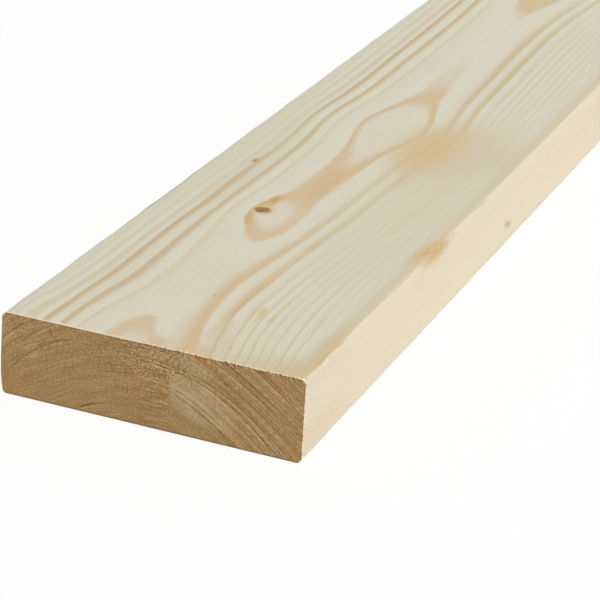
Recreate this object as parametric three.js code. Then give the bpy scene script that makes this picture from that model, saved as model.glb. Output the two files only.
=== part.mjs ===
// A planed softwood plank, 38 x 140 mm (nominal 2 x 6 in), 2.4 m long.
// The log was sawn, dried, then planed on all four sides in one pass, which eases the four long
// arrises. Both ends are docked square by a saw and keep their sharp edges. One arris was cut
// close to the bark, so the planer left a shallow wane along the foot of that edge.
//
// Frame: X across the width, Y along the length, Z up through the thickness. The origin is the
// middle of the underside. Sizes are in millimetres.

import * as THREE from "three";

const LENGTH = 2400;
const WIDTH = 140;
const THICKNESS = 38;

// The planer's easing on the long arrises. Its knives barely touch the one under the wane.
const ARRIS_RADIUS = 2;
const WANE_ARRIS_RADIUS = 1;
const ARRIS_FACETS = 6;

// The wane slopes in from the -X edge: how far up the edge it starts, and how deep it is at the
// underside. A long soft radius joins it to the planed edge above.
const WANE_HEIGHT = 12;
const WANE_DEPTH = 1.2;
const WANE_BLEND_RADIUS = 40;

// The corners of the section, counter-clockwise from the lower +X one, each with the radius of
// the arc that rounds it.
function sectionCorners() {
  const edge = WIDTH / 2;
  return [
    { x: edge, z: 0, radius: ARRIS_RADIUS },
    { x: edge, z: THICKNESS, radius: ARRIS_RADIUS },
    { x: -edge, z: THICKNESS, radius: ARRIS_RADIUS },
    { x: -edge, z: WANE_HEIGHT, radius: WANE_BLEND_RADIUS },
    { x: -edge + WANE_DEPTH, z: 0, radius: WANE_ARRIS_RADIUS },
  ];
}

// Adds the arc that rounds one convex corner, tangent to the straight sides on both hands of it.
function addRoundedCorner(shape, before, corner, after) {
  const point = new THREE.Vector2(corner.x, corner.z);
  const toBefore = new THREE.Vector2(before.x, before.z).sub(point).normalize();
  const toAfter = new THREE.Vector2(after.x, after.z).sub(point).normalize();
  const halfAngle = Math.acos(toBefore.dot(toAfter)) / 2;
  const inward = toBefore.clone().add(toAfter).normalize();
  const centre = point.clone().addScaledVector(inward, corner.radius / Math.sin(halfAngle));
  const setback = corner.radius / Math.tan(halfAngle);
  const start = point.clone().addScaledVector(toBefore, setback).sub(centre);
  const end = point.clone().addScaledVector(toAfter, setback).sub(centre);
  shape.absarc(centre.x, centre.y, corner.radius, start.angle(), end.angle(), false);
}

// The planed section, drawn in X and Z.
function plankSection() {
  const corners = sectionCorners();
  const shape = new THREE.Shape();
  corners.forEach((corner, i) => {
    const before = corners.at(i - 1);
    const after = corners[(i + 1) % corners.length];
    addRoundedCorner(shape, before, corner, after);
  });
  return shape;
}

function plankMesh() {
  const geometry = new THREE.ExtrudeGeometry(plankSection(), {
    depth: LENGTH,
    curveSegments: ARRIS_FACETS,
    bevelEnabled: false,
  });
  const softwood = new THREE.MeshStandardMaterial({
    color: new THREE.Color("rgb(216, 205, 178)"),
    roughness: 0.65,
    metalness: 0,
  });
  const mesh = new THREE.Mesh(geometry, softwood);
  mesh.name = "plank";
  // The section is drawn upright and runs along the length once it is laid down.
  mesh.rotation.x = Math.PI / 2;
  mesh.position.y = LENGTH / 2;
  return mesh;
}

const part = new THREE.Group();
part.add(plankMesh());

export default part;
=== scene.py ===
# A planed softwood plank, 38 x 140 mm and 2.4 m long, lying on its wide face. It is one piece of
# stock. The trunk that it was sawn from comes first here, then the plank's shape, its planed
# faces and its sawn ends, and last the floor, the lamps and the camera.

import math

import bmesh
import bpy
import numpy as np
from mathutils import Matrix, Vector


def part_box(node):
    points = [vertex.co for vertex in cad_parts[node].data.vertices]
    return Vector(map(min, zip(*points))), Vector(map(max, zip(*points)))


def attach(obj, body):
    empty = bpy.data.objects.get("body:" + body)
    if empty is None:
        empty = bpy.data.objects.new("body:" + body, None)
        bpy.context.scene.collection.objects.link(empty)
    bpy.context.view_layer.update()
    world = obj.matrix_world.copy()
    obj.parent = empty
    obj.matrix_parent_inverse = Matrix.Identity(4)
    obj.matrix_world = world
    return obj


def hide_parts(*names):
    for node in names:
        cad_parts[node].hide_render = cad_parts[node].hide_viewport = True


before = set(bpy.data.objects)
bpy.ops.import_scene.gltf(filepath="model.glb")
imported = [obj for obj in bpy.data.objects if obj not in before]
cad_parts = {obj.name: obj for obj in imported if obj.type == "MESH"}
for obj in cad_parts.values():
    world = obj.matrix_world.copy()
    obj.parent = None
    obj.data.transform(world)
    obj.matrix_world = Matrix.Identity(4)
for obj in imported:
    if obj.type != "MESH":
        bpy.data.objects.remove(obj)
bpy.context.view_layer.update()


# The trunk. Spruce lays down a pale soft layer each spring and a thin brown one each summer, in
# rings round the pith. The plank came from beside the pith, which runs below its underside, so
# the wide faces cut the rings nearly flat and show them as long arches.

# Places in the wood are in millimetres across from the left edge, along from the front end, and
# in depth below the top face.
PITH_ACROSS = 61.3
PITH_DEPTH = 87.1

# The widths of the yearly rings from the first that the top face cuts, going outwards. Going
# inwards from there the same widths follow, but the tree was young and each is a third wider.
INNER_RADIUS = 84.2
YEAR_WIDTHS = [3.3, 3.1, 2.8, 2.9, 2.1, 2.3, 2.2, 2.4, 2.7, 2.9, 2.8, 3.2, 3.2, 3.1, 2.9]
YOUNG_GROWTH = 1.33

# How fast the rings sink away from the top face. It is 2 for true circles, so these are flatter.
RING_SINKING = 1.6

# The middles of the rings drift to the left, by a share of what their radius is over a first one.
RING_DRIFT = 0.236
DRIFT_RADIUS = 90

# The pith sways from side to side in one long wave, and is pushed aside near the front end.
SWAY = 2
SWAY_LENGTH = 490
SWAY_CREST = 289
FRONT_PUSH = 2.2
FRONT_PUSH_REACH = 17

# Where the trunk bends: the place along it, the reach, and how far the pith sinks there.
TRUNK_BENDS = [(0, 32, -1.5), (71, 68, 1.55), (304, 35, -1.55)]

# Further back the pith rises slowly towards the top face, in waves of a size and a length.
BACK_START = 300
BACK_WAVES_FULL = 700
BACK_WAVES = [(1.6, 170), (1.1, 61)]
BACK_RISE = 9
BACK_RISE_END = 2700

# Where the rings swell: the place along and its reach, the place across and its reach, and how
# much nearer the pith the wood there was laid down.
RING_SWELLS = [
    (38, 50, 130, 13, 2.7),
    (20, 11, 68.4, 6.2, -0.8),
    (98, 55, 25, 12, 0.45),
    (146, 28, 63.5, 11.2, 1.0),
    (218, 34, 60, 12, 0.38),
    (38, 14, 25, 12, 0.25),
    (12, 12, 48, 6, 0.25),
    (24, 9, 57, 7, 0.2),
    (80, 20, 88, 8, 0.3),
    (30, 7, 90, 5, 0.2),
    (160, 20, 22, 6, -0.36),
    (4, 22, 7, 7.5, 1.6),
    (20, 18, 21, 4, -0.42),
]

# The branches, from the pith outwards: where each one meets the top face, along and across, its
# radius there, and how far it leans towards the front end over the full depth.
BRANCHES = [
    (162.4, 50.6, 4, 10),
    (780, 96, 7, 14),
    (1330, 38, 6, 12),
    (1348, 128, 5, 12),
    (1905, 72, 8, 16),
    (1918, 8, 5, 10),
]

# A branch pulls the rings round it outwards, by so much, over a reach across and a reach along.
# Each of the three has a least length, and what is added to it for each mm of branch radius.
BRANCH_PULL = (0.7, 0.26)
BRANCH_ACROSS = (6, 1.4)
BRANCH_ALONG = (8, 3.1)

years = len(YEAR_WIDTHS)
ring_edges = INNER_RADIUS + np.cumsum([0] + YEAR_WIDTHS)
inner_edges = INNER_RADIUS - YOUNG_GROWTH * np.cumsum(YEAR_WIDTHS * 2)
ring_edges = np.concatenate([inner_edges[::-1], ring_edges])
ring_numbers = np.arange(len(ring_edges)) - 2 * years - 1


def hump(distance, reach):
    """A soft hump that is 1 at no distance and 0.37 at its reach."""
    return np.exp(-((distance / reach) ** 2))


def ease(value, start, end):
    """Goes smoothly from 0 at the start to 1 at the end."""
    share = np.clip((value - start) / (end - start), 0, 1)
    return share * share * (3 - 2 * share)


def pith_line(along):
    """Where the pith lies, across and in depth."""
    across = PITH_ACROSS + SWAY * np.cos(2 * math.pi * (along - SWAY_CREST) / SWAY_LENGTH)
    across = across + FRONT_PUSH * hump(along, FRONT_PUSH_REACH)
    depth = PITH_DEPTH + sum(sink * hump(along - at, reach) for at, reach, sink in TRUNK_BENDS)
    waves = sum(size * np.sin(along / length) for size, length in BACK_WAVES)
    depth = depth + ease(along, BACK_START, BACK_WAVES_FULL) * waves
    return across, depth - BACK_RISE * ease(along, BACK_START, BACK_RISE_END)


def log_place(across, along, depth):
    """Rings counted outwards from one of them, and the radius and the way round in mm."""
    pith_across, pith_depth = pith_line(along)
    inwards = np.sqrt(pith_depth**2 - RING_SINKING * pith_depth * depth)
    rough_radius = np.hypot(across - pith_across, inwards)
    sideways = across - pith_across + RING_DRIFT * (rough_radius - DRIFT_RADIUS)
    radius = np.hypot(sideways, inwards)
    for at, reach, beside, side_reach, swell in RING_SWELLS:
        radius = radius - swell * hump(along - at, reach) * hump(across - beside, side_reach)
    for at, beside, branch_radius, lean in BRANCHES:
        share = 1 - depth / PITH_DEPTH
        branch_across = PITH_ACROSS + (beside - PITH_ACROSS) * share
        branch_along = at - lean * depth / PITH_DEPTH
        pull, reach_across, reach_along = (
            least + more * branch_radius
            for least, more in (BRANCH_PULL, BRANCH_ACROSS, BRANCH_ALONG)
        )
        side = hump(across - branch_across, reach_across)
        radius = radius - pull * side * hump(along - branch_along, reach_along)
    rings = np.interp(radius, ring_edges, ring_numbers)
    around = INNER_RADIUS * np.arctan2(sideways, inwards)
    return rings, radius, around


# The plank. It is sawn out of the trunk, dried, and put through a four-sided planer that eases
# the long arrises. One lower arris was close to the bark and kept a shallow wane. The ends are
# docked square and left rough.
low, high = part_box("plank")
MM = 0.001
ARRIS = 2 * MM
WANE_HEIGHT = 12 * MM
WANE_DEPTH = 1.2 * MM
WANE_REACH = 20 * MM

# The planer barely touches the arris under the wane, and it leaned a little above it.
WANE_ARRIS = 1 * MM
LEAN_HEIGHT = 20 * MM
LEAN_DEPTH = 0.5 * MM

# The front stretch of the long faces carries the finer cells. An arris is this many cells round,
# and on the front end each edge of the grid is cut this many times more. Two places that are
# within a hair of each other count as the same.
FRONT_STRETCH = 530 * MM
CELL = 3.1 * MM
LONG_CELL = 12 * MM
ARRIS_CELLS = 4
FRONT_END_CUTS = 7
HAIR = 1e-6

blank = bmesh.new()
bmesh.ops.create_cube(blank, size=1)
bmesh.ops.scale(blank, vec=high - low, verts=blank.verts)
bmesh.ops.translate(blank, vec=(low + high) / 2, verts=blank.verts)


def cut_across(axis, place):
    """Cuts new edges all round the blank, square to an axis."""
    square = Vector((0, 0, 0))
    square[axis] = 1
    parts = blank.verts[:] + blank.edges[:] + blank.faces[:]
    bmesh.ops.bisect_plane(blank, geom=parts, plane_co=square * place, plane_no=square)


def split_between(axis, start, end, cell):
    """Splits what runs along one axis from start to end into even cells."""
    running = []
    for edge in blank.edges:
        first, last = sorted(vertex.co[axis] for vertex in edge.verts)
        if last - first > HAIR and first > start - HAIR and last < end + HAIR:
            running.append(edge)
    cuts = max(round((end - start) / cell) - 1, 0)
    bmesh.ops.subdivide_edges(blank, edges=running, cuts=cuts, use_grid_fill=True)


front = low.y
middle = (low.y + high.y) / 2
far_half = (front + FRONT_STRETCH + high.y) / 2
stations = {
    0: (low.x, low.x + ARRIS, high.x - ARRIS, high.x),
    1: (front, front + FRONT_STRETCH, middle, far_half, high.y),
    2: (low.z, low.z + ARRIS, high.z - ARRIS, high.z),
}
for axis, places in stations.items():
    for place in places[1:-1]:
        cut_across(axis, place)

# The faces are laid out flat on a sheet in strips, one above another, each with its own pixels
# per mm. A strip has the axis and the side that its face looks to, and where along the plank it
# runs. The two ends lie side by side above the strips.
SHEET = 1024
STRIP_GAP = 4
STRIPS = [
    (2, 1, front, front + FRONT_STRETCH, 1.9),
    (0, 1, front, front + FRONT_STRETCH, 1.9),
    (2, 1, front + FRONT_STRETCH, far_half, 1.0),
    (2, 1, far_half, high.y, 1.0),
    (0, 1, front + FRONT_STRETCH, far_half, 1.0),
    (0, 1, far_half, high.y, 1.0),
    (0, -1, front, middle, 0.84),
    (0, -1, middle, high.y, 0.84),
    (2, -1, front, high.y, 0.42),
]
FRONT_END_PIXELS = 4.2
BACK_END_PIXELS = 2.4
FACING = 0.9

flat_map = blank.loops.layers.uv.new("OFBake")


def lay_flat(faces, run, rise, corner, origin, pixels):
    """Places faces on the sheet, run to the right and rise upwards, from a corner of theirs."""
    for face in faces:
        for loop in face.loops:
            offset = loop.vert.co - corner
            right = origin[0] + abs(offset[run]) / MM * pixels
            up = origin[1] + abs(offset[rise]) / MM * pixels
            loop[flat_map].uv = (right / SHEET, up / SHEET)


def faces_towards(axis, side, start=-math.inf, end=math.inf):
    """The faces that look along an axis, to its far side or its near one, on a stretch."""
    return [
        face
        for face in blank.faces
        if face.normal[axis] * side > FACING and start < face.calc_center_median().y < end
    ]


blank.normal_update()
level = STRIP_GAP
for axis, side, start, end, pixels in STRIPS:
    rise = 2 - axis
    corner = Vector((low.x, start, low.z))
    lay_flat(faces_towards(axis, side, start, end), 1, rise, corner, (STRIP_GAP, level), pixels)
    level += (high - low)[rise] / MM * pixels + STRIP_GAP
lay_flat(faces_towards(1, -1), 0, 2, low, (STRIP_GAP, level), FRONT_END_PIXELS)
beside_front_end = 2 * STRIP_GAP + (high - low).x / MM * FRONT_END_PIXELS
lay_flat(faces_towards(1, 1), 0, 2, low, (beside_front_end, level), BACK_END_PIXELS)

PLANED, SAWN = 0, 1
for face in blank.faces:
    face.material_index = SAWN if abs(face.normal.y) > FACING else PLANED
    face.smooth = True

cells = {0: CELL, 1: LONG_CELL, 2: CELL}
for axis, places in stations.items():
    for start, end in zip(places, places[1:]):
        cell = cells[axis]
        if end - start < ARRIS + HAIR:
            cell = ARRIS / ARRIS_CELLS
        if axis == 1 and start == front:
            cell = CELL
        split_between(axis, start, end, cell)
end_edges = [
    edge
    for edge in blank.edges
    if max(vertex.co.y for vertex in edge.verts) < front + HAIR and edge.calc_length() > CELL / 2
]
bmesh.ops.subdivide_edges(blank, edges=end_edges, cuts=FRONT_END_CUTS, use_grid_fill=True)

# The planer's knives round each arris: a square corner of the grid becomes a quarter disc, which
# is cut a little deeper here and there, where the plank shook under the knives. The shakes are
# waves along the plank: a size, a length and a start.
ARRIS_SHAKE = 0.12 * MM
SHAKES = [(1.0, 9.5, 2.6), (0.7, 3.9, 0.0)]
width_middle = (low.x + high.x) / 2
depth_middle = (low.z + high.z) / 2
half_width = (high.x - low.x) / 2
half_depth = (high.z - low.z) / 2
for vertex in blank.verts:
    x = vertex.co.x - width_middle
    z = vertex.co.z - depth_middle
    arris = WANE_ARRIS if x < 0 and z < 0 else ARRIS
    flat_x = half_width - arris
    flat_z = half_depth - arris
    over_x = max(abs(x) - flat_x, 0)
    over_z = max(abs(z) - flat_z, 0)
    if over_x > 0 and over_z > 0:
        along = (vertex.co.y - front) / MM
        shake = sum(size * (1 + math.sin(along / length + start)) for size, length, start in SHAKES)
        round_off = max(over_x, over_z) / math.hypot(over_x, over_z)
        deeper = ARRIS_SHAKE * shake * min(over_x, over_z) / arris
        vertex.co.x = width_middle + math.copysign(flat_x + over_x * round_off - deeper, x)
        vertex.co.z = depth_middle + math.copysign(flat_z + over_z * round_off - deeper, z)
    below = 1 - (vertex.co.z - low.z) / WANE_HEIGHT
    beside = 1 - (vertex.co.x - low.x) / WANE_REACH
    if below > 0 and beside > 0:
        vertex.co.x += WANE_DEPTH * below**2 * beside
    above = 1 - (high.z - vertex.co.z) / LEAN_HEIGHT
    if above > 0 and beside > 0:
        vertex.co.x += LEAN_DEPTH * above * beside

for edge in blank.edges:
    edge.smooth = len({face.material_index for face in edge.link_faces}) == 1
plank_mesh = bpy.data.meshes.new("spruce_plank")
blank.to_mesh(plank_mesh)
blank.free()
spruce_plank = bpy.data.objects.new("spruce_plank", plank_mesh)
bpy.context.scene.collection.objects.link(spruce_plank)

spots = np.empty(3 * len(plank_mesh.vertices))
plank_mesh.vertices.foreach_get("co", spots)
spots = spots.reshape(-1, 3)
across = (spots[:, 0] - low.x) / MM
along = (spots[:, 1] - front) / MM
depth = (high.z - spots[:, 2]) / MM
ring_count, radius, around = log_place(across, along, depth)
rings = plank_mesh.attributes.new("rings", "FLOAT", "POINT")
rings.data.foreach_set("value", ring_count)
trunk = plank_mesh.attributes.new("trunk", "FLOAT_VECTOR", "POINT")
trunk.data.foreach_set("vector", np.stack([radius, around, along], axis=1).ravel())

# The docking saw tears the front end. On the right, where it cut across the rings, splinters
# stand up in fine rows that curve about a far centre, and some rings part in long cracks. A
# crack is an arc through three places on the end, across and in depth, then its half width and
# how deep it is. It runs a little past its ends, and closes over a short stretch there.
ROW_CENTRE = (0, 185)
ROW_PITCH = 2.2
CRACKS = [
    ((0, 13), (8, 5.3), (17.5, 0.3), 0.25, 0.65),
    ((8, 14), (15, 7), (26.5, 0.3), 0.22, 0.6),
    ((5, 25), (16, 14.4), (33, 6), 0.26, 0.65),
    ((11, 16.4), (20, 10.6), (31, 6.2), 0.2, 0.5),
    ((22.6, 1.8), (23.5, 4), (25, 6.6), 0.22, 0.7),
    ((9, 2.5), (9.9, 4.2), (11.2, 6), 0.2, 0.5),
    ((36.5, 37), (41, 34.6), (47, 32.3), 0.28, 0.8),
    ((70, 8), (100, 15.3), (128, 38), 0.24, 0.65),
    ((71, 6.4), (102, 14), (132, 38), 0.2, 0.4),
    ((92, 9.5), (113, 20), (135, 38), 0.2, 0.4),
    ((80, 17), (93, 23), (108, 34), 0.22, 0.6),
    ((84, 21), (97, 28), (107, 35.4), 0.22, 0.5),
]
CRACK_OVERRUN = 1
CRACK_FADE = 4
TEAR_DEPTH = 0.22 * MM
DEEPEST_TEAR = 2

# The rows take over from the rings between two places across, and are boldest at the top right.
# A bold row is two waves, one twice as fine as the other, each with its height.
ROWS_FROM, ROWS_FULL = 76, 112
ROW_WAVES = (0.6, 0.55)
ROW_WAVER = 0.9
FINE_ROW_SIZE = 0.75
BROKEN_RING_SIZE = 0.7
BROKEN_RING_SHARE = 0.35

# The front rim is chipped right of the middle of the plank.
CHIP_DEPTH = 1.0 * MM
CHIPS_FROM, CHIPS_FULL = 45, 96
CHIP_SIZE = 0.9


def arc_through(first, second, third):
    """The centre and the radius of the circle through three places."""
    (ax, ay), (bx, by), (cx, cy) = first, second, third
    twice = 2 * (ax * (by - cy) + bx * (cy - ay) + cx * (ay - by))
    a, b, c = ax**2 + ay**2, bx**2 + by**2, cx**2 + cy**2
    x = (a * (by - cy) + b * (cy - ay) + c * (ay - by)) / twice
    y = (a * (cx - bx) + b * (ax - cx) + c * (bx - ax)) / twice
    return (x, y), math.hypot(ax - x, ay - y)


def rough_line(places, size, seed):
    """Random heights from -1 to 1 along a line, eased over the given size."""
    count = 4096
    heights = np.random.default_rng(seed).uniform(-1, 1, count)
    spot = places / size
    cell = np.floor(spot).astype(int)
    share = ease(spot - cell, 0, 1)
    return heights[cell % count] * (1 - share) + heights[(cell + 1) % count] * share


# The whole end is torn half a depth deep. Bold rows, fine rows and broken rings add to that or
# take from it, stronger here and weaker there, and then the cracks go deeper.
HALF_TORN = 0.5
RELIEF_SHARE = 0.3
in_rows = ease(across, ROWS_FROM, ROWS_FULL)
top_right = ease(across, 96, 116) * (1 - ease(depth, 13, 24))
from_row_centre = np.hypot(across - ROW_CENTRE[0], depth - ROW_CENTRE[1])
row_turn = 2 * math.pi * from_row_centre / ROW_PITCH + ROW_WAVER * rough_line(from_row_centre, 7, 1)
rows = ROW_WAVES[0] * np.sin(row_turn) + ROW_WAVES[1] * np.sin(2 * row_turn + 1)
rows = rows * (0.3 * in_rows + 0.7 * top_right)
fine_rows = rough_line(from_row_centre, FINE_ROW_SIZE, 2) * in_rows
broken_rings = BROKEN_RING_SHARE * rough_line(radius, BROKEN_RING_SIZE, 3) * (1 - in_rows)
unbroken = 0.7 + 0.3 * rough_line(across, 9, 4)
torn = HALF_TORN + RELIEF_SHARE * unbroken * (rows + fine_rows + broken_rings)
for first, second, third, half_open, deep in CRACKS:
    arc_centre, arc_radius = arc_through(first, second, third)
    off_line = np.hypot(across - arc_centre[0], depth - arc_centre[1]) - arc_radius
    start, end = first[0] - CRACK_OVERRUN, third[0] + CRACK_OVERRUN
    fade = min((third[0] - first[0]) / 2, CRACK_FADE)
    within = ease(across, start, start + fade) * (1 - ease(across, end - fade, end))
    parted = deep * within * (0.6 + 0.4 * rough_line(across, 3, 5))
    torn = torn + parted * (hump(off_line, 1.4 * half_open) - 0.5 * hump(off_line + 0.9, 0.7))
torn = np.clip(torn, 0, DEEPEST_TEAR)
chips = np.clip(rough_line(across, CHIP_SIZE, 5), 0, 1)
chipped = hump(depth, CHIP_SIZE) * chips * ease(across, CHIPS_FROM, CHIPS_FULL)
on_end = spots[:, 1] < front + HAIR
spots[:, 1] += np.where(on_end, torn * TEAR_DEPTH + chipped * CHIP_DEPTH, 0)
plank_mesh.vertices.foreach_set("co", spots.ravel())
plank_mesh.update()
tears = plank_mesh.attributes.new("tears", "FLOAT", "POINT")
tears.data.foreach_set("value", np.where(on_end, torn + 0.4 * chipped, HALF_TORN))

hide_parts("plank")
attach(spruce_plank, "root")


# The wood's figure, which every face of the plank cuts in its own way: the yearly rings, and
# the fibres that run along the trunk.


def add(kind, inputs, tree=None, **settings):
    """Adds a node. Each of its inputs is given a value, or is joined to another node's output.
    The node goes where those other nodes are, so the tree is only named where there are none."""
    joined = {key: value for key, value in inputs.items() if isinstance(value, bpy.types.NodeSocket)}
    if tree is None:
        tree = next(iter(joined.values())).id_data
    node = tree.nodes.new("ShaderNode" + kind)
    for name, value in settings.items():
        setattr(node, name, value)
    for key, value in inputs.items():
        if key in joined:
            tree.links.new(value, node.inputs[key])
        else:
            node.inputs[key].default_value = value
    return node


def maths(operation, first, second=0.0, third=0.0):
    return add("Math", {0: first, 1: second, 2: third}, operation=operation).outputs[0]


def times(first, *others):
    for other in others:
        first = maths("MULTIPLY", first, other)
    return first


def plus(first, *others):
    for other in others:
        first = maths("ADD", first, other)
    return first


def times_plus(value, factor, start):
    return maths("MULTIPLY_ADD", value, factor, start)


def changed(value, mask, amount):
    """Raises a value by a share of itself where the mask is full, or lowers it by a negative one."""
    return times(value, times_plus(mask, amount, 1.0))


def swing(noise, amount):
    """Brings a noise from around 0.5 to around 0, and makes it swing by the amount."""
    return times(maths("SUBTRACT", noise, 0.5), amount)


def vectors(operation, first, second=(0, 0, 0), third=(0, 0, 0)):
    inputs = {0: first, 1: second, 2: third}
    return add("VectorMath", inputs, operation=operation).outputs[0]


def between(value, start, end, low_end=0.0, high_end=1.0):
    """Eases from one value to another as the input goes from start to end."""
    inputs = {"Value": value, "From Min": start, "From Max": end}
    inputs |= {"To Min": low_end, "To Max": high_end}
    return add("MapRange", inputs, interpolation_type="SMOOTHSTEP").outputs["Result"]


def until(value, full, end, amount=1.0):
    """The amount up to one value, which eases out to 0 at the next."""
    return between(value, full, end, amount, 0.0)


def band(value, start, full, last, end):
    """A mask that is full between two places along a value, and soft at both ends."""
    return times(between(value, start, full), until(value, last, end))


def mix(amount, first, second):
    return add("Mix", {0: amount, 2: first, 3: second}).outputs[0]


def blend(amount, first, second, way="MIX"):
    node = add("Mix", {0: amount, 6: first, 7: second}, data_type="RGBA", blend_type=way)
    return node.outputs[2]


def stretched_noise(place, sizes, detail=2.0, roughness=0.5, kind="Fac"):
    """Noise around 0.5, whose blots have the given sizes along the three axes of place."""
    shrunk = vectors("MULTIPLY", place, [1 / size for size in sizes])
    inputs = {"Vector": shrunk, "Scale": 1.0, "Detail": detail, "Roughness": roughness}
    return add("TexNoise", inputs).outputs[kind]


def new_group(name, inputs, outputs):
    """A group with the named inputs and outputs, and the sockets of both on its inside."""
    group = bpy.data.node_groups.new(name, "ShaderNodeTree")
    for way, sockets in (("INPUT", inputs), ("OUTPUT", outputs)):
        for label, kind in sockets.items():
            group.interface.new_socket(label, in_out=way, socket_type="NodeSocket" + kind)
    given = group.nodes.new("NodeGroupInput").outputs
    wanted = group.nodes.new("NodeGroupOutput").inputs
    return group, given, wanted


def use_group(group, inputs):
    return add("Group", inputs, node_tree=group).outputs


def colour(red, green, blue):
    """A colour given as on a paint card, from 0 to 255, as the linear values of a socket."""
    linear = [
        part / 12.92 if part <= 0.04045 else ((part + 0.055) / 1.055) ** 2.4
        for part in (red / 255, green / 255, blue / 255)
    ]
    return (*linear, 1.0)


# Yearly rings: counts them outwards, and gives each a number, and a phase from 0 where its spring
# wood starts to 1 at its outer edge.
yearly_rings, given, wanted = new_group(
    "yearly_rings", {"Rings": "Float", "Waver": "Float"}, {"Number": "Float", "Phase": "Float"}
)
counted = plus(given["Rings"], given["Waver"])
yearly_rings.links.new(maths("CEIL", counted), wanted["Number"])
yearly_rings.links.new(maths("FRACT", counted), wanted["Phase"])

# Summer wood: takes up the outer share of a ring, where it starts softly and stops more sharply.
SUMMER_START = 0.4
SUMMER_STOP = 0.25
summer_wood, given, wanted = new_group(
    "summer_wood", {"Phase": "Float", "Share": "Float"}, {"Summer": "Float"}
)
share = given["Share"]
start = maths("SUBTRACT", 1.0, share)
full = times_plus(share, -SUMMER_START, 1.0)
last = times_plus(share, -SUMMER_STOP, 1.0)
summer = band(given["Phase"], start, full, last, 1.0)
summer_wood.links.new(summer, wanted["Summer"])

# Fibres: fine streaks along the trunk, a slow drift of tone, and the waver of the rings, each in
# blots of a size outwards, round and along.
STREAK_SIZES = (0.7, 0.7, 38)
DRIFT_SIZES = (9, 9, 160)
WAVER_SIZES = (6, 6, 45)
fibres, given, wanted = new_group(
    "fibres", {"Trunk": "Vector"}, {"Streaks": "Float", "Drift": "Float", "Waver": "Float"}
)
in_trunk = given["Trunk"]
fibres.links.new(stretched_noise(in_trunk, STREAK_SIZES, 3.0), wanted["Streaks"])
fibres.links.new(stretched_noise(in_trunk, DRIFT_SIZES), wanted["Drift"])
wavering = stretched_noise(in_trunk, WAVER_SIZES)
fibres.links.new(maths("SUBTRACT", wavering, 0.5), wanted["Waver"])

# A stain: how far a place is from its middle, 0 there and 1 at its rim. It may be turned on the
# face, and slope sideways with depth, as a branch does.
stain, given, wanted = new_group(
    "stain",
    {"Place": "Vector", "Middle": "Vector", "Slope": "Vector", "Turn": "Float", "Reach": "Vector"},
    {"Distance": "Float"},
)
sinking = add("SeparateXYZ", {0: given["Place"]}).outputs["Z"]
slid = add("VectorMath", {0: given["Slope"], 3: sinking}, operation="SCALE").outputs[0]
offset = vectors("SUBTRACT", given["Place"], given["Middle"])
offset = vectors("SUBTRACT", offset, slid)
turning = {"Vector": offset, "Angle": times(given["Turn"], -1.0)}
turned = add("VectorRotate", turning, rotation_type="Z_AXIS").outputs[0]
scaled = vectors("DIVIDE", turned, given["Reach"])
distance = add("VectorMath", {0: scaled}, operation="LENGTH").outputs["Value"]
stain.links.new(distance, wanted["Distance"])


def new_material(name):
    material = bpy.data.materials.new(name)
    material.use_nodes = True
    tree = material.node_tree
    return material, tree, tree.nodes["Principled BSDF"]


def place_in_plank(tree):
    """The place in mm across from the left edge, along from the front end, and in depth."""
    in_metres = add("TexCoord", {}, tree).outputs["Object"]
    to_mm = (1 / MM, 1 / MM, -1 / MM)
    corner = (-low.x / MM, -front / MM, high.z / MM)
    return vectors("MULTIPLY_ADD", in_metres, to_mm, corner)


def stored(tree, name, kind="Fac"):
    """What the mesh holds under a name at each point."""
    return add("Attribute", {}, tree, attribute_name=name).outputs[kind]


def pushed_about(place, sizes, amounts):
    """The place pushed about at random, by blots of the given sizes, so that rims are uneven."""
    noise = stretched_noise(place, sizes, kind="Color")
    pushed = vectors("SUBTRACT", noise, (0.5, 0.5, 0.5))
    return vectors("MULTIPLY_ADD", pushed, amounts, place)


def stain_distance(place, middle, reach, turn=0, slope=(0, 0, 0)):
    inputs = {"Place": place, "Middle": middle, "Reach": reach, "Slope": slope}
    inputs["Turn"] = math.radians(turn)
    return use_group(stain, inputs)["Distance"]


def stained(wood, place, stains):
    """Lays stains over the wood: middle, reach, colour, strength, core, and turn and slope."""
    for middle, reach, shade, strength, core, *lie in stains:
        distance = stain_distance(place, middle, reach, *lie)
        wood = blend(until(distance, core, 1.0, strength), wood, shade)
    return wood


# The planed faces. The planer leaves bare wood smooth and dull: cream spring wood, straw and
# pinkish-brown summer wood, the small knots of dead twigs, and a few flecks of resin.
SPRING = colour(213, 206, 185)
SPRING_PALE = colour(214, 209, 188)
SUMMER_BROWN = colour(193, 169, 129)
SUMMER_STRAW = colour(205, 175, 129)
SUMMER_OLIVE = colour(191, 175, 130)
GOLD = colour(198, 170, 112)

# The ring lines waver by this share of a year. Left of the pith they also lie a little further
# in, apart from the first.
WAVER = 0.14
LEFT_SHIFT = 0.18

planed, tree, finish = new_material("planed_softwood")
place = place_in_plank(tree)
across, along = add("SeparateXYZ", {0: place}).outputs[:2]
in_trunk = stored(tree, "trunk", "Vector")
beside_pith = add("SeparateXYZ", {0: in_trunk}).outputs["Y"]
rings = stored(tree, "rings")
figure = use_group(fibres, {"Trunk": in_trunk})
to_right = between(beside_pith, -5, 5)
left_shift = times(until(to_right, 0, 1, LEFT_SHIFT), between(rings, 0.6, 1.6))
waver = plus(times(figure["Waver"], WAVER), left_shift)
ring = use_group(yearly_rings, {"Rings": rings, "Waver": waver})

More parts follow.
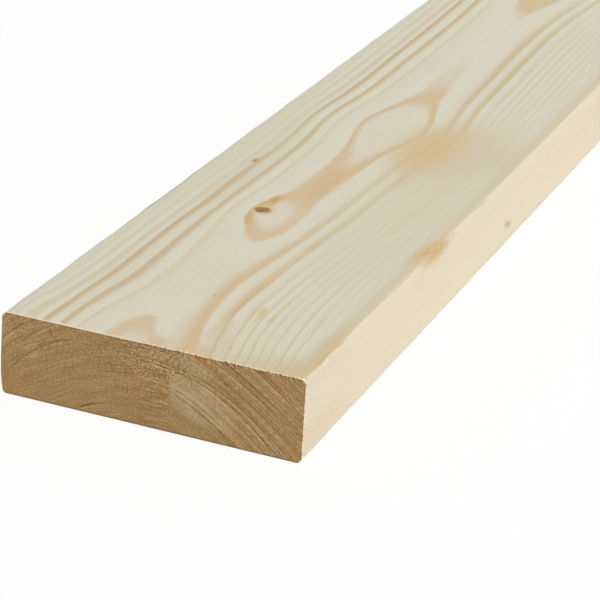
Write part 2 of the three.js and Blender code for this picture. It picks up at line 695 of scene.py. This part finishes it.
# How strongly each ring near the top face is marked, left and right of the pith, and how much of
# it is summer wood, left and right. The first row is for all rings nearer the pith, and the last
# for all those further out.
RING_MARKS = [
    (0.60, 0.60, 0.60, 0.60),
    (0.80, 0.80, 0.46, 0.46),
    (0.24, 0.82, 0.40, 0.56),
    (0.86, 0.86, 0.60, 0.78),
    (1.00, 0.30, 0.60, 0.65),
    (0.40, 0.36, 1.00, 0.55),
    (0.32, 0.34, 0.70, 0.55),
    (0.24, 0.20, 0.70, 0.55),
    (0.20, 0.24, 0.60, 0.55),
    (0.20, 0.28, 0.60, 0.50),
    (0.20, 0.20, 0.60, 0.55),
    (0.20, 0.10, 0.60, 0.60),
    (0.20, 0.12, 0.60, 0.60),
]
step = 1 / len(RING_MARKS)
ring_marks = add("ValToRGB", {0: times_plus(ring["Number"], step, 1.5 * step)})
ramp = ring_marks.color_ramp
ramp.interpolation = "CONSTANT"
while len(ramp.elements) < len(RING_MARKS):
    ramp.elements.new(0.5)
for index, row in enumerate(RING_MARKS):
    ramp.elements[index].position = index * step
    ramp.elements[index].color = row
marks = add("SeparateColor", {0: ring_marks.outputs["Color"]}).outputs
mark = mix(to_right, marks["Red"], marks["Green"])
share = mix(to_right, marks["Blue"], ring_marks.outputs["Alpha"])

# The rings right of the pith fade in and out along the plank, the narrow outer ones most. Near
# the front end those are sharp, fully up to the first place along and not past the second.
FADING_LENGTH = 370
FADING_START = -1.0
WIDE_FADING = 0.25
NARROW_FADING = 0.45
SHARP_RINGS = (34, 66)
past_first = between(ring["Number"], 0.4, 0.6)
past_second = between(ring["Number"], 1.4, 1.6)
narrow_ring = times(to_right, between(ring["Number"], 2.4, 2.6))
wide_ring = maths("SUBTRACT", times(to_right, past_first), narrow_ring)
beats = maths("COSINE", times_plus(along, 2 * math.pi / FADING_LENGTH, FADING_START))
wide_strength = times_plus(beats, WIDE_FADING, 1 - WIDE_FADING)
narrow_strength = times_plus(beats, NARROW_FADING, 1 - NARROW_FADING)
faded = mix(narrow_ring, mix(to_right, 1.0, wide_strength), narrow_strength)
mark = times(mark, mix(past_first, 1.0, faded))
sharpened = times(narrow_ring, until(along, *SHARP_RINGS))
mark = changed(mark, sharpened, 1.0)
share = changed(share, sharpened, -0.4)

# Close to the front end the first rings right of the pith are wide and weak, and a thin dark
# line edges the second. The line has its place in the ring's phase, and it fades between two
# places along, from one strength to another.
WIDE_RINGS = (12, 48)
EDGE_LINE = (0.66, 0.80, 0.84, 0.97)
EDGE_LINE_FADES = (60, 95, 0.55, 0.1)
widened = times(wide_ring, until(along, *WIDE_RINGS))
share = maths("MINIMUM", times_plus(widened, 0.35, share), 1.0)
mark = changed(mark, times(widened, past_second), -0.55)
edge_line = times(band(ring["Phase"], *EDGE_LINE), wide_ring, past_second)
edge_line = times(edge_line, between(along, *EDGE_LINE_FADES))

# The innermost ring shows as a full tongue at the front end. It thins to two bare arms where
# the pith sinks again, between the first and the last of four places along, and is soaked in
# resin round the twig.
TONGUE = (14, 30)
BARE_ARMS = (225, 250, 330, 380)
SOAKED_SPOT = (48, 163, 0), (9, 27, 40)
first_ring = maths("SUBTRACT", 1.0, past_first)
tongue = times(until(along, *TONGUE), first_ring)
share = times_plus(tongue, 0.34, share)
mark = changed(mark, tongue, -0.16)
share = changed(share, times(band(along, *BARE_ARMS), first_ring), -0.42)
soaked = times(until(stain_distance(place, *SOAKED_SPOT), 0.6, 1.0), first_ring)
mark = mix(soaked, mark, 1.0)

summer = use_group(summer_wood, {"Phase": ring["Phase"], "Share": share})["Summer"]
summer = times(mark, summer)
spring = blend(between(ring["Phase"], 0.15, 0.5), SPRING_PALE, SPRING)
summer_colour = blend(to_right, SUMMER_BROWN, SUMMER_STRAW)
summer_colour = blend(first_ring, summer_colour, SUMMER_STRAW)
summer_colour = blend(narrow_ring, summer_colour, SUMMER_OLIVE)
olive = times(wide_ring, between(along, 90, 150, 0.0, 0.6))
summer_colour = blend(olive, summer_colour, SUMMER_OLIVE)
summer_colour = blend(times(sharpened, 0.7), summer_colour, SUMMER_BROWN)
summer_colour = blend(soaked, summer_colour, GOLD)
wood = blend(summer, spring, summer_colour)

# The top is cooler on the left, and on the right its last few millimetres are dirty. Each has two
# places across, and how strong it is there.
LEFT_COOL = colour(205, 204, 182)
COOL_SIDE = (1, 16, 0.6)
ARRIS_OLIVE = colour(203, 188, 155)
DIRTY_SIDE = (128.5, 137.5, 0.0, 0.72)
wood = blend(until(across, *COOL_SIDE), wood, LEFT_COOL)
wood = blend(between(across, *DIRTY_SIDE), wood, ARRIS_OLIVE)

# Stains and knots. Each has its middle, its reach across, along and in depth, its colour, its
# strength, and the share of its reach that is at full strength. Some have a turn in degrees too,
# and a slope in mm across and along for each mm of depth.
RESIN = colour(206, 184, 132)
HONEY = colour(208, 184, 138)
STRAW_TINT = colour(205, 182, 142)
FRONT_TINT = colour(205, 189, 155)
CORNER_TINT = colour(203, 183, 144)
CORNER_DIRT = colour(188, 166, 112)
FRONT_STRAW = colour(209, 188, 149)
WARM_TINT = colour(208, 196, 168)
COOL_TINT = colour(204, 200, 174)
PINK_TINT = colour(206, 174, 136)
BURNT = colour(190, 150, 86)
AMBER = colour(200, 167, 107)
KNOT_BROWN = colour(140, 109, 47)
KNOT_DARK = colour(120, 90, 28)
TWIG_SLOPE = (0.12, -0.115, 0)
STAINS = [
    ((110, 180, 0), (34, 100, 30), WARM_TINT, 0.3, 0.5),
    ((4, 235, 0), (34, 140, 30), COOL_TINT, 0.55, 0.4),
    ((106, 12, 0), (26, 46, 30), WARM_TINT, 0.4, 0.3, 10),
    ((120, 0, 0), (30, 20, 30), FRONT_TINT, 0.62, 0.4),
    ((134, 2, 0), (19, 26, 8), CORNER_TINT, 0.75, 0.3),
    ((138, 36, 0), (9, 38, 4), CORNER_TINT, 0.85, 0.3),
    ((139.6, 26, 0), (3, 27, 3), CORNER_DIRT, 0.6, 0.2),
    ((108, 285, 0), (42, 74, 20), FRONT_TINT, 0.6, 0.3),
    ((94, 18, 0), (6, 34, 20), WARM_TINT, 0.8, 0.4, 16),
    ((88, 2, 0), (11, 14, 20), STRAW_TINT, 0.8, 0.3),
    ((92, 0, 0), (14, 8, 6), FRONT_STRAW, 0.6, 0.3),
    ((86.6, 22, 0), (3, 10, 10), WARM_TINT, 0.8, 0.2, 10),
    ((116, 215, 0), (26, 60, 20), WARM_TINT, 0.35, 0.4),
    ((115.5, 195, 0), (4, 75, 12), WARM_TINT, 0.7, 0.2, -4),
    ((95.5, 232, 0), (5, 18, 12), STRAW_TINT, 0.35, 0.3),
    ((61, 2, 0), (9, 14, 12), SPRING, 0.55, 0.4),
    ((77, 4, 0), (8, 17, 12), STRAW_TINT, 0.45, 0.3),
    ((83, 12, 0), (5, 15, 10), SUMMER_STRAW, 0.35, 0.3, 20),
    ((64, 210, 0), (7, 32, 8), PINK_TINT, 0.85, 0.3),
    ((68.6, 158, 0), (4.5, 24, 8), SPRING, 0.25, 0.5),
    ((87.6, 112, 0), (4, 26, 20), SPRING, 0.25, 0.4),
    ((25, 60, 0), (8, 80, 20), STRAW_TINT, 0.2, 0.4),
    ((26, 195, 0), (7, 95, 20), STRAW_TINT, 0.2, 0.4),
    ((22.6, 192, 0), (3.2, 70, 20), SUMMER_BROWN, 0.65, 0.2),
    ((97.3, 55, 0), (2.5, 7.5, 2), RESIN, 0.95, 0.1),
    ((98.4, 47.5, 0), (1.8, 8, 2), RESIN, 0.9, 0.0),
    ((103.9, 50, 0), (1.5, 9, 2), RESIN, 0.9, 0.1),
    ((103.9, 62, 0), (1.2, 13, 2), RESIN, 0.5, 0.0),
    ((50.6, 172, 0), (4.4, 8, 8), GOLD, 0.6, 0.4),
    ((50.8, 178.6, 0), (3.8, 9, 8), AMBER, 0.8, 0.4),
    ((50.3, 178.2, 0), (2.6, 5.6, 6), BURNT, 0.9, 0.2),
    ((50.9, 163.4, 0), (7.4, 8.4, 60), RESIN, 0.85, 0.45, 0, TWIG_SLOPE),
    ((50.6, 163.1, 0), (5.0, 5.0, 60), BURNT, 0.8, 0.6, 0, TWIG_SLOPE),
    ((50.4, 163.3, 0), (4.7, 4.4, 60), KNOT_BROWN, 1.0, 0.6, 0, TWIG_SLOPE),
    ((49.6, 161.6, 0), (2.4, 2.7, 60), KNOT_DARK, 0.95, 0.3, 0, TWIG_SLOPE),
    ((51.5, 164.3, 0), (1.7, 2.0, 60), KNOT_DARK, 0.6, 0.2, 0, TWIG_SLOPE),
    ((72.3, 60, 0), (0.7, 1.8, 2), KNOT_BROWN, 0.5, 0.3, 25),
    ((21.3, 223.5, 0), (3.0, 5.0, 60), BURNT, 0.9, 0.2, 0, TWIG_SLOPE),
    ((20.9, 222.5, 0), (1.2, 2.2, 60), KNOT_BROWN, 0.7, 0.2, 0, TWIG_SLOPE),
]
for at, beside, branch_radius, lean in BRANCHES[1:]:
    slope = ((PITH_ACROSS - beside) / PITH_DEPTH, -lean / PITH_DEPTH, 0)
    for wider, shade, cover in [(1.7, AMBER, 0.5), (1.0, KNOT_BROWN, 0.75), (0.6, BURNT, 0.6)]:
        reach = (wider * branch_radius, 1.2 * wider * branch_radius, 60)
        STAINS.append(((beside, at, 0), reach, shade, cover, 0.7, 0, slope))
ragged_place = pushed_about(place, (3, 7, 3), (1.0, 2.0, 1.0))
wood = stained(wood, ragged_place, STAINS)

# Near the front end the narrow rings and the second ring's edge line show through the stains.
SHOWING_THROUGH = (12, 32, 0.6)
lines = times(summer, narrow_ring, until(along, *SHOWING_THROUGH))
wood = blend(plus(lines, edge_line), wood, SUMMER_BROWN)

# A streak soaked with honey-coloured resin, feathered along the fibres.
HONEY_SPOT = (92, 284, 0), (25, 56, 12)
HONEY_FEATHERS = 0.9
feathers = swing(figure["Streaks"], HONEY_FEATHERS)
honey_distance = plus(stain_distance(place, *HONEY_SPOT), feathers)
honey_colour = blend(times(summer, 0.5), HONEY, SUMMER_BROWN)
wood = blend(until(honey_distance, 0.25, 1.0), wood, honey_colour)

# The edges of the plank show nearly plain wood, painted a warmer cream than the top: that warmth is
# painted light, the warm light that falls on the side. On the arris, a mm or so in from the plank's
# width, the two shades meet in a wavy line. It bulges out towards the edge or draws back from it,
# from one place to another along, by so many mm.
WARM_LIT_EDGE_CREAM = colour(219, 206, 179)
WARM_LIT_EDGE_SUMMER = colour(209, 188, 149)
SPECK_BROWN = colour(172, 150, 112)
SHADE_BULGES = [(14, 27, 0.25), (34, 48, 0.4), (46, 78, -0.4), (84, 140, 0.35), (204, 242, 0.45)]
EDGE_STAINS = [
    ((140, 20, 0), (5, 46, 9), WARM_LIT_EDGE_SUMMER, 0.22, 0.3),
    ((140, 10, 30), (6, 60, 12), WARM_LIT_EDGE_SUMMER, 0.35, 0.3),
    ((140, 236, 27), (3, 7, 3.9), SPECK_BROWN, 0.75, 0.05, 0, (0, 1.3, 0)),
]
SHADE_WAVE = 1.1
SHADE_START, SHADE_END = 1.28, 1.05
middle_mm = half_width / MM
from_middle = maths("ABSOLUTE", maths("SUBTRACT", across, middle_mm))
from_middle = plus(from_middle, swing(stretched_noise(place, (60, 5, 60)), SHADE_WAVE))
for start, end, amount in SHADE_BULGES:
    run = 0.4 * (end - start)
    bulge = band(along, start, start + run, end - run, end)
    from_middle = times_plus(bulge, -amount, from_middle)
# Past the wavy line the side is painted a warmer cream: painted warm light that falls on the side.
warm_lit_side = between(from_middle, middle_mm - SHADE_START, middle_mm - SHADE_END)
warm_lit_edge_wood = blend(times(summer, 0.35), WARM_LIT_EDGE_CREAM, WARM_LIT_EDGE_SUMMER)
warm_lit_edge_wood = stained(warm_lit_edge_wood, ragged_place, EDGE_STAINS)
wood = blend(warm_lit_side, wood, warm_lit_edge_wood)

# The left arris is greyer and darker along one stretch, and a little at the corner.
LEFT_ARRIS_GREY = colour(170, 166, 148)
LEFT_ARRIS_GREYING = [
    ((0, 160, 0), (4.2, 75, 4), LEFT_ARRIS_GREY, 0.7, 0.35),
    ((0, 0, 0), (4.5, 26, 4), LEFT_ARRIS_GREY, 0.35, 0.3),
]
wood = stained(wood, ragged_place, LEFT_ARRIS_GREYING)

# The planer missed a patch of rough, resinous wood on the right arris.
PATCH_GOLD = colour(211, 180, 126)
PATCH_BROWN = colour(200, 166, 116)
PATCH_SIDE = colour(239, 238, 230)
PATCH_FRAYS = 0.9
on_top = stain_distance(place, (138, 159, 0), (5.2, 27, 3), -9)
on_side = stain_distance(place, (140, 159.5, 0), (2.8, 24, 6.4))
mottle = stretched_noise(place, (1.6, 6, 1.6), 3.0, 0.6)
patch_distance = plus(maths("MINIMUM", on_top, on_side), swing(mottle, PATCH_FRAYS))
patch_colour = blend(between(mottle, 0.42, 0.62), PATCH_GOLD, PATCH_BROWN)
patch_colour = blend(warm_lit_side, patch_colour, PATCH_SIDE, "MULTIPLY")
wood = blend(until(patch_distance, 0.2, 1.25, 0.96), wood, patch_colour)

# The docking saw pushed the fibres up along the front rim, over a narrower and a wider stretch by
# turns. Some catch the light, and on the right some are torn and brown.
RIM_CREAM = colour(242, 222, 186)
RIM_BROWN = colour(184, 138, 86)
NARROWEST_RIM, WIDEST_RIM = 0.8, 3.0
TORN_RIM = (0.6, 2.0, 0.85)
frayed = stretched_noise(place, (1.5, 7, 2.2), 3.0, 0.6)
rim_width = between(frayed, 0.3, 0.7, NARROWEST_RIM, WIDEST_RIM)
wood = blend(until(maths("DIVIDE", along, rim_width), 0.5, 1.0, 0.7), wood, RIM_CREAM)
torn_spots = between(stretched_noise(place, (0.8, 6, 2.2)), 0.46, 0.62)
torn_rim = times(until(along, *TORN_RIM), torn_spots, between(across, 40, 90))
wood = blend(torn_rim, wood, RIM_BROWN)

# The fibres shade bare wood very slightly, and make it rougher here and smoother there. Under the
# planer's knives the hard summer wood stays a trace prouder than the soft spring wood.
STREAK_SHADE = (0.973, 0.968, 0.96, 1)
DRIFT_SHADE = (0.985, 0.99, 1.0, 1)
SMOOTHEST, ROUGHEST = 0.5, 0.62
RELIEF = 0.03 * MM
wood = blend(between(figure["Streaks"], 0.35, 0.65), wood, STREAK_SHADE, "MULTIPLY")
wood = blend(between(figure["Drift"], 0.3, 0.7), wood, DRIFT_SHADE, "MULTIPLY")
tree.links.new(wood, finish.inputs["Base Color"])
roughness = between(figure["Streaks"], 0.3, 0.7, SMOOTHEST, ROUGHEST)
tree.links.new(roughness, finish.inputs["Roughness"])
relief = times_plus(summer, 0.5, figure["Streaks"])
bump = add("Bump", {"Strength": 0.5, "Distance": RELIEF, "Height": relief})
tree.links.new(bump.outputs[0], finish.inputs["Normal"])
plank_mesh.materials.append(planed)


# The sawn ends. A docking saw tears the ends rough, and they have weathered brown: a short
# broken grain lies along the rings, with rows of splinters on the right and a dozen fine cracks.
END_BROWN = colour(163, 130, 84)
END_DARK = colour(112, 80, 42)
END_PALE = colour(214, 183, 138)
END_GREY = colour(186, 166, 130)
END_ORANGE = colour(176, 126, 74)
END_OLIVE = colour(152, 122, 72)
END_RED = colour(164, 116, 84)
LOWER_RIM_GREY = colour(112, 100, 82)
SPLINTER_HIGHLIGHT = colour(232, 216, 182)

sawn, tree, finish = new_material("sawn_end")
across, along, depth = add("SeparateXYZ", {0: place_in_plank(tree)}).outputs
in_trunk = stored(tree, "trunk", "Vector")
on_face = add("CombineXYZ", {0: across, 1: depth}).outputs[0]


def distance_on_face(middle):
    """How far each place on the end is from a middle, given across and in depth."""
    pair = {0: on_face, 1: (*middle, 0)}
    return add("VectorMath", pair, operation="DISTANCE").outputs["Value"]


# The tone is above 0 where the fibres stand up, and below it where they are torn out. It is partly
# the grain's own pale and dark, and partly painted light on the raised fibres and painted shade in
# the torn hollows.
# The grain and the lines follow the rings on the left, coarsest near the middle, and the saw's
# rows on the right. At two spots in the middle, given across and in depth, the saw's teeth left
# short strokes, upright ones and level ones.
ROW_SIDE = (76, 108)
UPRIGHT_SPOT = (49, 54, 60, 65), (11, 15, 22, 27)
LEVEL_SPOT = (60, 71, 78, 80), (9, 15)
row_distance = distance_on_face(ROW_CENTRE)
along_rows = add("CombineXYZ", {0: row_distance, 1: across}).outputs[0]
ring_grain = stretched_noise(in_trunk, (0.75, 1.4, 9), 2.0, 0.55)
ring_lines = stretched_noise(in_trunk, (0.8, 22, 9), 2.0, 0.55)
row_grain = stretched_noise(along_rows, (0.75, 1.6, 1), 2.0, 0.55)
row_lines = stretched_noise(along_rows, (0.7, 45, 1), 2.0, 0.6)
speckle = stretched_noise(on_face, (0.55, 0.55, 1), 1.0)
upright_strokes = stretched_noise(on_face, (0.7, 9, 1))
level_strokes = stretched_noise(on_face, (9, 0.75, 1))
on_right = between(across, *ROW_SIDE)
on_left = maths("SUBTRACT", 1.0, on_right)
coarse = times(between(across, 44, 66, 1.7, 2.3), between(depth, 6, 26, 1.0, 0.8))
top_right = times(until(depth, 11, 24), between(across, 100, 118))
row_boldness = times_plus(top_right, 1.3, 1.9)
upright_spot = times(band(across, *UPRIGHT_SPOT[0]), band(depth, *UPRIGHT_SPOT[1]))
level_spot = times(band(across, *LEVEL_SPOT[0]), between(depth, *LEVEL_SPOT[1]))
tone = plus(
    swing(ring_grain, times(on_left, coarse)),
    swing(row_grain, times(on_right, 1.6)),
    swing(ring_lines, on_left),
    swing(row_lines, times(on_right, row_boldness)),
    swing(speckle, 0.9),
    swing(upright_strokes, times(upright_spot, 1.2)),
    swing(level_strokes, times(level_spot, 2.2)),
    # The deeper the saw tore, the darker: painted shade in the torn hollows.
    swing(stored(tree, "tears"), -0.8),
)

# The saw tore deepest under the top face, right of the pith, and there the tone, with its painted
# light and shade, is made stronger.
tone = changed(tone, times(until(depth, 9, 17), band(across, 53, 61, 106, 116)), 0.55)

# The stains on the front end. Their places and their reaches are across, and then in depth.
END_STAINS = [
    ((13.6, 13.8, 0), (5.5, 2.4, 1), END_GREY, 0.5, 0.1, -35),
    ((16.6, 17, 0), (5.2, 2.0, 1), END_GREY, 0.55, 0.1, -35),
    ((3, 9, 0), (5, 6, 1), END_GREY, 0.35, 0.2),
    ((33.6, 20, 0), (7, 5, 1), END_OLIVE, 0.8, 0.2),
    ((50, 12, 0), (14, 9, 1), END_OLIVE, 0.5, 0.2),
    ((12.5, 29, 0), (3.5, 4, 1), END_RED, 0.5, 0.2),
    ((7, 35, 0), (10, 4, 1), END_ORANGE, 0.35, 0.2),
    ((66, 20, 0), (13, 12, 1), END_ORANGE, 0.3, 0.2),
    ((66, 22, 0), (9, 6, 1), END_OLIVE, 0.45, 0.2),
    ((73, 4, 0), (9, 5, 1), END_GREY, 0.35, 0.2),
    ((90, 5.5, 0), (13, 6, 1), END_GREY, 0.6, 0.2, 20),
    ((95, 2.0, 0), (13, 3, 1), END_ORANGE, 0.6, 0.3),
    ((129, 8, 0), (12, 9, 1), END_ORANGE, 0.3, 0.2),
    ((105, 28, 0), (9, 6, 1), END_GREY, 0.35, 0.2, 25),
    ((74, 26, 0), (7, 8, 1), END_OLIVE, 0.6, 0.3),
]
end_wood = stained(END_BROWN, on_face, END_STAINS)

# Mould. It stops sharply at the spot where a neighbour in the stack lay against the end.
MOULD_ACROSS = (78.2, 80.4, 92, 124)
MOULD_DOWN = (9, 14, 26, 37)
mould_distance = stain_distance(on_face, (93, 21, 0), (24, 12, 1), 28)
mould_patches = between(stretched_noise(along_rows, (3.5, 14, 1)), 0.35, 0.6, 0.25, 0.9)
mould = times(until(mould_distance, 0.5, 1), mould_patches)
mould = times(mould, band(across, *MOULD_ACROSS), band(depth, *MOULD_DOWN))
end_wood = blend(mould, end_wood, END_GREY)

# Only the front end has the stains, the mould and the cracks. Each crack is painted dark by its
# depth, as painted shade inside it, and it closes where the rays that run out from the pith hold
# the wood together.
at_front = until(along, 20, 40)
end_wood = blend(at_front, END_BROWN, end_wood)
# The tone paints the end paler and darker: the grain's own pale and dark, with painted light on the
# raised fibres and painted shade where they are sunk.
end_wood = blend(add("Clamp", {0: tone}).outputs[0], end_wood, END_PALE)
sunk = add("Clamp", {0: times(tone, -1.0)}).outputs[0]
end_wood = blend(sunk, end_wood, END_DARK)
rays = stretched_noise(in_trunk, (7, 4, 9), 1.0)
for first, second, third, half_open, deep in CRACKS:
    arc_centre, arc_radius = arc_through(first, second, third)
    off_line = maths("SUBTRACT", distance_on_face(arc_centre), arc_radius)
    core, rim = 0.3 * half_open, 1.6 * half_open
    start, end = first[0] - CRACK_OVERRUN, third[0] + CRACK_OVERRUN
    fade = min((end - start) / 2, CRACK_FADE)
    parted = band(across, start, start + fade, end - fade, end)
    # Painted shade in the crack, lighter where the crack closes.
    painted_crack_shade = between(rays, 0.4, 0.7, deep, 0.3 * deep)
    crack = times(band(off_line, -rim, -core, core, rim), parted, painted_crack_shade, at_front)
    end_wood = blend(crack, end_wood, END_DARK)

# A few splinters stand up beside the longest crack, painted pale: painted highlights where they
# catch the light.
splinter_highlights = between(stretched_noise(on_face, (1.6, 0.7, 1), 1.0), 0.6, 0.72, 0.0, 0.8)
beside_crack = until(stain_distance(on_face, (77, 9.6, 0), (11, 3, 1), 8), 0.5, 1)
splinter_highlights = times(splinter_highlights, beside_crack, at_front)
end_wood = blend(splinter_highlights, end_wood, SPLINTER_HIGHLIGHT)

# The top rim frays into dark and pale tufts, and the lower rim is darker and greyer.
TOP_RIM = (0.2, 1.3)
LOWER_RIM = (36.8, 37.7)
tufts = stretched_noise(on_face, (0.9, 1.2, 1))
top_rim = until(depth, *TOP_RIM)
dark_tufts = times(top_rim, between(tufts, 0.40, 0.62, 0.1, 0.6))
pale_tufts = times(top_rim, until(tufts, 0.34, 0.44, 0.7))
end_wood = blend(dark_tufts, end_wood, END_DARK)
end_wood = blend(pale_tufts, end_wood, END_PALE)
end_wood = blend(between(depth, *LOWER_RIM, 0.0, 0.6), end_wood, LOWER_RIM_GREY)

# Torn wood is rougher and duller than planed wood, and its relief is deeper.
END_ROUGHNESS = 0.85
END_SHINE = 0.25
END_RELIEF = 0.2 * MM
tree.links.new(end_wood, finish.inputs["Base Color"])
finish.inputs["Roughness"].default_value = END_ROUGHNESS
finish.inputs["Specular IOR Level"].default_value = END_SHINE
bump = add("Bump", {"Strength": 0.8, "Distance": END_RELIEF, "Height": tone})
tree.links.new(bump.outputs[0], finish.inputs["Normal"])
plank_mesh.materials.append(sawn)


# The floor, a pale seamless studio floor that runs on out of sight. The camera sees it glow a
# little, so that it is nearly white and only the plank's soft shadow shows on it.
FLOOR_SIZE = 60
FLOOR_WHITE = (0.97, 0.97, 0.97, 1)
FLOOR_GLOW = 0.84
WHITE = (1, 1, 1, 1)

floor_mesh = bmesh.new()
bmesh.ops.create_grid(floor_mesh, x_segments=1, y_segments=1, size=FLOOR_SIZE / 2)
floor_data = bpy.data.meshes.new("studio_floor")
floor_mesh.to_mesh(floor_data)
floor_mesh.free()
studio_floor = bpy.data.objects.new("studio_floor", floor_data)
bpy.context.scene.collection.objects.link(studio_floor)


def seen_rays(tree, amount):
    """The amount for what the camera sees, straight or in gloss or glass, and 0 for all else."""
    path = add("LightPath", {}, tree).outputs
    straight = maths("MAXIMUM", path["Is Camera Ray"], path["Is Transmission Ray"])
    return times(maths("MAXIMUM", straight, path["Is Glossy Ray"]), amount)


floor_paint, tree, finish = new_material("studio_floor")
finish.inputs["Base Color"].default_value = FLOOR_WHITE
finish.inputs["Roughness"].default_value = 0.9
finish.inputs["Specular IOR Level"].default_value = 0.1
glow = add("Emission", {"Color": WHITE, "Strength": 1.0}, tree)
floor_mix = add("MixShader", {0: seen_rays(tree, FLOOR_GLOW)})
tree.links.new(finish.outputs[0], floor_mix.inputs[1])
tree.links.new(glow.outputs[0], floor_mix.inputs[2])
tree.links.new(floor_mix.outputs[0], tree.nodes["Material Output"].inputs["Surface"])
floor_data.materials.append(floor_paint)


# The lamps: a pale studio all round, and one large soft lamp high on the right. Turns are from
# straight in front of the front end towards the right.
SKY_COLOUR = (0.97, 0.99, 1.0, 1)
SKY_STRENGTH = 0.45
LAMP_COLOUR = (1.0, 0.985, 0.96)
LAMP_STRENGTH = 2.2
LAMP_SPREAD = math.radians(40)
LAMP_TURN = math.radians(65)
LAMP_HEIGHT = math.radians(50)


def direction(turn, height):
    """Points away from the plank, with a turn and a height above the floor."""
    level = math.cos(height)
    return Vector((math.sin(turn) * level, -math.cos(turn) * level, math.sin(height)))


world = bpy.data.worlds.new("studio")
bpy.context.scene.world = world
world.use_nodes = True
tree = world.node_tree
sky = tree.nodes["Background"]
sky.inputs["Color"].default_value = SKY_COLOUR
sky.inputs["Strength"].default_value = SKY_STRENGTH
seen_sky = add("Background", {"Color": WHITE, "Strength": 1.0}, tree)
sky_mix = add("MixShader", {0: seen_rays(tree, 1.0)})
tree.links.new(sky.outputs[0], sky_mix.inputs[1])
tree.links.new(seen_sky.outputs[0], sky_mix.inputs[2])
tree.links.new(sky_mix.outputs[0], tree.nodes["World Output"].inputs["Surface"])

lamp_data = bpy.data.lights.new("soft_lamp", "SUN")
lamp_data.energy = LAMP_STRENGTH
lamp_data.angle = LAMP_SPREAD
lamp_data.color = LAMP_COLOUR
soft_lamp = bpy.data.objects.new("soft_lamp", lamp_data)
to_lamp = direction(LAMP_TURN, LAMP_HEIGHT)
soft_lamp.rotation_euler = to_lamp.to_track_quat("Z", "Y").to_euler()
bpy.context.scene.collection.objects.link(soft_lamp)


# The camera, a little above the front end and to its right, with a long lens.
CAMERA_TURN = math.radians(21.1)
CAMERA_HEIGHT = math.radians(23.69)
CAMERA_ROLL = math.radians(3.45)
CAMERA_LENS = 148.4
CAMERA_SENSOR = 36
CAMERA_DISTANCE = 1025.4 * MM
CAMERA_SIDEWAYS = 62.1 * MM
CAMERA_UPWARDS = 18.8 * MM

back = direction(CAMERA_TURN, CAMERA_HEIGHT)
level_right = Vector((math.cos(CAMERA_TURN), math.sin(CAMERA_TURN), 0))
level_up = back.cross(level_right)
right = math.cos(CAMERA_ROLL) * level_right + math.sin(CAMERA_ROLL) * level_up
up = math.cos(CAMERA_ROLL) * level_up - math.sin(CAMERA_ROLL) * level_right
aim = Vector((width_middle, front, high.z))
camera_data = bpy.data.cameras.new("camera")
camera_data.lens = CAMERA_LENS
camera_data.sensor_width = CAMERA_SENSOR
camera = bpy.data.objects.new("camera", camera_data)
stand = aim + CAMERA_SIDEWAYS * right + CAMERA_UPWARDS * up + CAMERA_DISTANCE * back
camera.matrix_world = Matrix.Translation(stand) @ Matrix((right, up, back)).transposed().to_4x4()
bpy.context.scene.collection.objects.link(camera)
bpy.context.scene.camera = camera
bpy.context.scene.view_settings.view_transform = "Standard"
